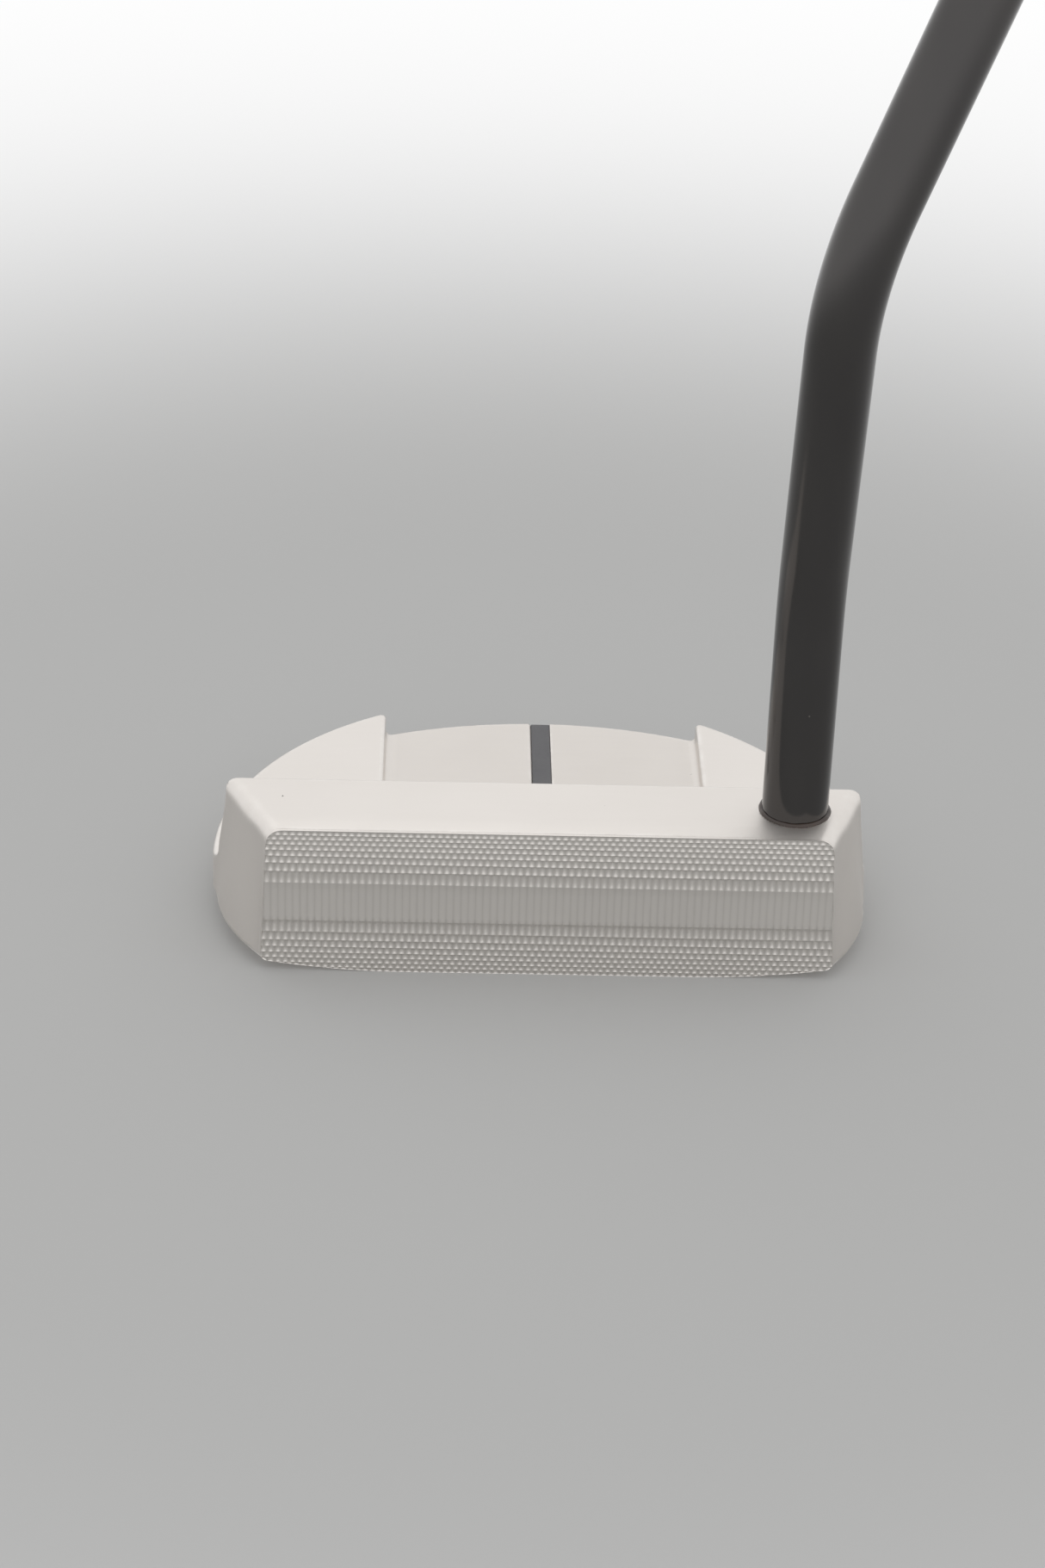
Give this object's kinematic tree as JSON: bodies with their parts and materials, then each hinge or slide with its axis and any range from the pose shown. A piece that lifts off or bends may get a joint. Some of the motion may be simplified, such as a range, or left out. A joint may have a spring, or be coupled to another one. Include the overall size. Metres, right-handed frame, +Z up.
{
  "type": "putter",
  "caption": "Heel-shafted golf putter: milled steel head with raised wings and a sight line, double-bend black shaft, pistol grip and screw-in sole weights.",
  "frame": {"origin": "on the flat of the sole, on the head's centre line, 23 mm behind the leading edge", "axes": "+X towards the heel, the face looks along -Y, +Z up with the club soled"},
  "size_m": [0.3534, 0.0783, 0.815],
  "materials": {
    "head_steel": "satin bead-blasted nickel",
    "sight_paint": "flat grey paint",
    "weight_steel": "turned",
    "seal_rubber": "matt",
    "shaft_black": "gloss black plating",
    "bond_epoxy": "glossy dark adhesive",
    "plug_plastic": "plain",
    "tape_paper": "paper tape",
    "grip_rubber": "fine moulded texture",
    "cap_plastic": "satin"
  },
  "bodies": {
    "club": {"head": "head_steel", "sight_line": "sight_paint", "shaft": "shaft_black", "shaft_bond": "bond_epoxy", "tip_plug": "plug_plastic", "grip_tape": "tape_paper", "grip": "grip_rubber", "grip_cap": "cap_plastic"},
    "toe_seal": {"toe_weight_seal": "seal_rubber"},
    "toe_weight": {"toe_weight": "weight_steel"},
    "heel_seal": {"heel_weight_seal": "seal_rubber"},
    "heel_weight": {"heel_weight": "weight_steel"}
  },
  "joints": [
    {"name": "toe_weight_travel", "type": "slide", "parent": "club", "child": "toe_seal", "axis": [0, 0, -1], "range_m": [0, 0.00251]},
    {"name": "toe_weight_turn", "type": "hinge", "parent": "toe_seal", "child": "toe_weight", "pos_m": [-0.0325, 0.011, 0], "axis": [0, 0, -1], "range_deg": [0, 1200]},
    {"name": "heel_weight_travel", "type": "slide", "parent": "club", "child": "heel_seal", "axis": [0, 0, -1], "range_m": [0, 0.00251]},
    {"name": "heel_weight_turn", "type": "hinge", "parent": "heel_seal", "child": "heel_weight", "pos_m": [0.0325, 0.011, 0], "axis": [0, 0, -1], "range_deg": [0, 1200]}
  ],
  "couplings": [
    {"joint": "toe_weight_travel", "follows": "toe_weight_turn", "m_per_rad": 0.00011937},
    {"joint": "heel_weight_travel", "follows": "heel_weight_turn", "m_per_rad": 0.00011937}
  ]
}
